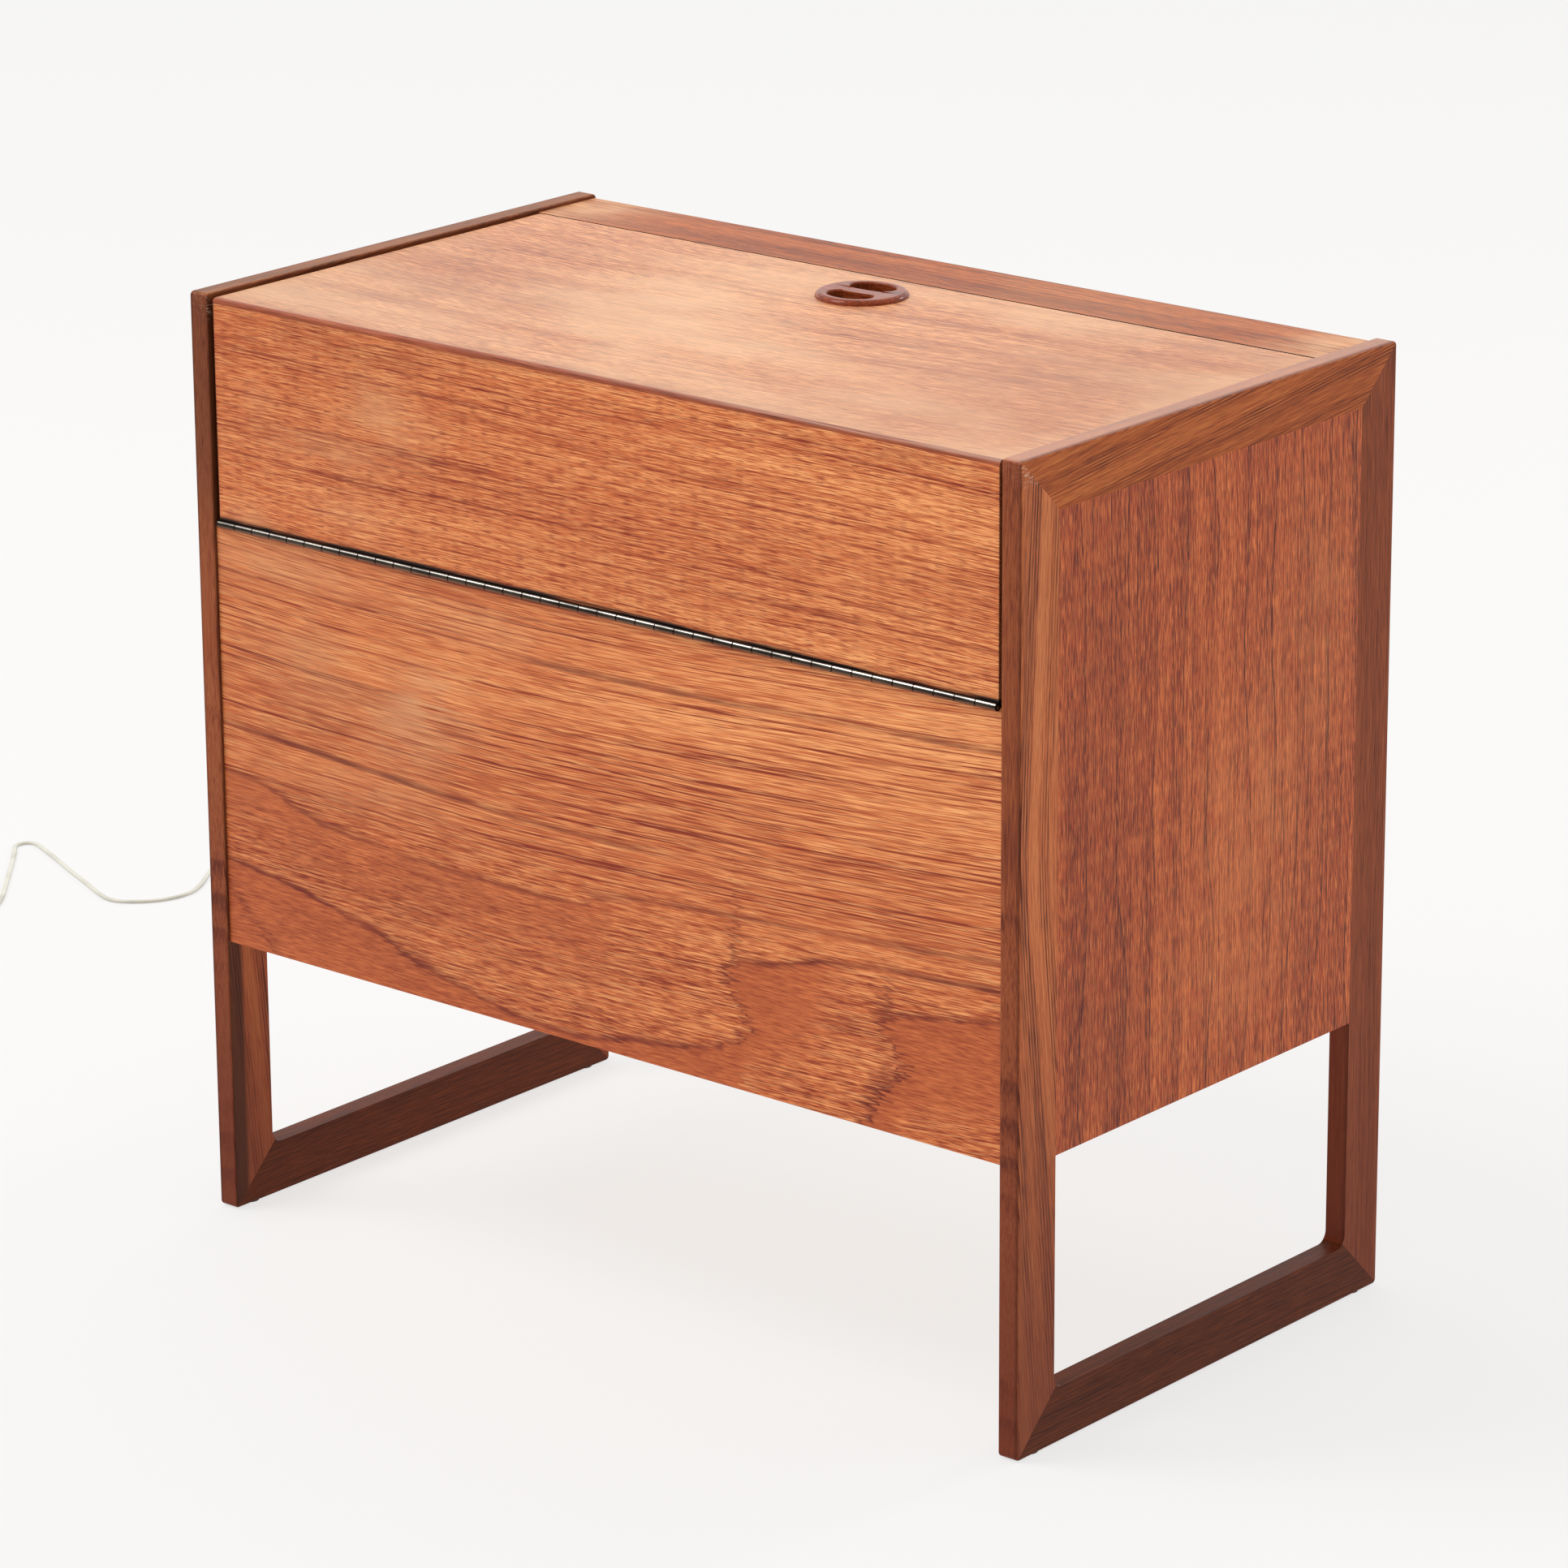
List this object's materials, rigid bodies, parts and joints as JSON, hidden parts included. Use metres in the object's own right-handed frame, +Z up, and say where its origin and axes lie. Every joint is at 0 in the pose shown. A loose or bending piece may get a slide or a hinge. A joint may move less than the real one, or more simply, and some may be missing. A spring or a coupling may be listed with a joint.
{
  "type": "cellarette",
  "caption": "Low bar cabinet on mitred runner frames; its top and upper front are one lid that swings forward on a piano hinge into a serving shelf.",
  "frame": {"origin": "on the floor under the centre of the cabinet", "axes": "+X to the right seen from the front, +Y to the back, +Z up"},
  "size_m": [1.6335, 0.6408, 0.7511],
  "materials": {
    "teak_frame": "oiled dark solid teak",
    "teak_side": "oiled reddish teak veneer, grain upright",
    "teak_front_lower": "oiled teak veneer with flame figure, grain across",
    "teak_front_upper": "oiled teak veneer, grain across",
    "teak_top": "oiled teak veneer, slightly faded",
    "teak_strip": "oiled teak veneer",
    "teak_lipping": "oiled solid teak",
    "teak_pull": "lacquered turned teak, glossy",
    "teak_dish": "lacquered turned teak, dark and glossy",
    "teak_back": "teak veneer",
    "teak_rail": "solid teak",
    "pale_wood": "pale beech, clear lacquer",
    "shelf_glass": "clear float glass with ground edges",
    "black_glide": "black",
    "hinge_metal": "brass gone dark with age",
    "hinge_pin_metal": "bright steel",
    "black_holder": "black moulding",
    "bulb_glass": "clear tubular bulb",
    "ivory_plunger": "ivory",
    "ivory_flex": "ivory flat twin flex",
    "ivory_clip": "ivory moulding",
    "ivory_plug": "ivory moulding",
    "plug_pin_metal": "nickelled brass"
  },
  "bodies": {
    "cabinet": {"left_front_leg": "teak_frame", "left_rear_leg": "teak_frame", "left_top_rail": "teak_frame", "left_runner": "teak_frame", "right_front_leg": "teak_frame", "right_rear_leg": "teak_frame", "right_top_rail": "teak_frame", "right_runner": "teak_frame", "left_side_panel": "teak_side", "right_side_panel": "teak_side", "lower_front_panel": "teak_front_lower", "rear_top_strip": "teak_strip", "bottom_panel": "pale_wood", "back_panel": "teak_back", "lid_rest_rail": "teak_rail", "partition": "pale_wood", "shelf_cleats": "pale_wood", "glass_shelf": "shelf_glass", "glides": "black_glide", "hinge_fixed_leaf": "hinge_metal", "hinge_pin": "hinge_pin_metal", "lamp_holder": "black_holder", "lamp_bulb": "bulb_glass", "switch_body": "black_holder", "lamp_lead": "ivory_flex", "switch_lead": "ivory_flex", "lead_clips": "ivory_clip", "strain_relief": "ivory_clip", "cord": "ivory_flex", "cord_coil": "ivory_flex", "plug_body": "ivory_plug", "plug_pins": "plug_pin_metal", "bottle_divider_cross_1": "pale_wood", "bottle_divider_cross_2": "pale_wood", "bottle_divider_cross_3": "pale_wood", "bottle_divider_long_1": "pale_wood", "bottle_divider_long_2": "pale_wood", "bottle_divider_long_3": "pale_wood"},
    "lid": {"lid_front_panel": "teak_front_upper", "lid_top_panel": "teak_top", "lid_lipping": "teak_lipping", "lid_corner_strip": "teak_rail", "hinge_lid_leaf": "hinge_metal", "pull_ring": "teak_pull", "pull_dish": "teak_dish"},
    "plunger": {"switch_plunger": "ivory_plunger"}
  },
  "joints": [
    {"name": "lid_hinge", "type": "hinge", "parent": "cabinet", "child": "lid", "pos_m": [0, -0.222, 0.5685], "axis": [1, 0, 0], "range_deg": [0, 180]},
    {"name": "plunger_slide", "type": "slide", "parent": "cabinet", "child": "plunger", "axis": [0, 0, 1], "range_m": [0, 0.004]}
  ],
  "couplings": [
    {"joint": "plunger_slide", "follows": "lid_hinge", "m_per_rad": 0.001273}
  ]
}
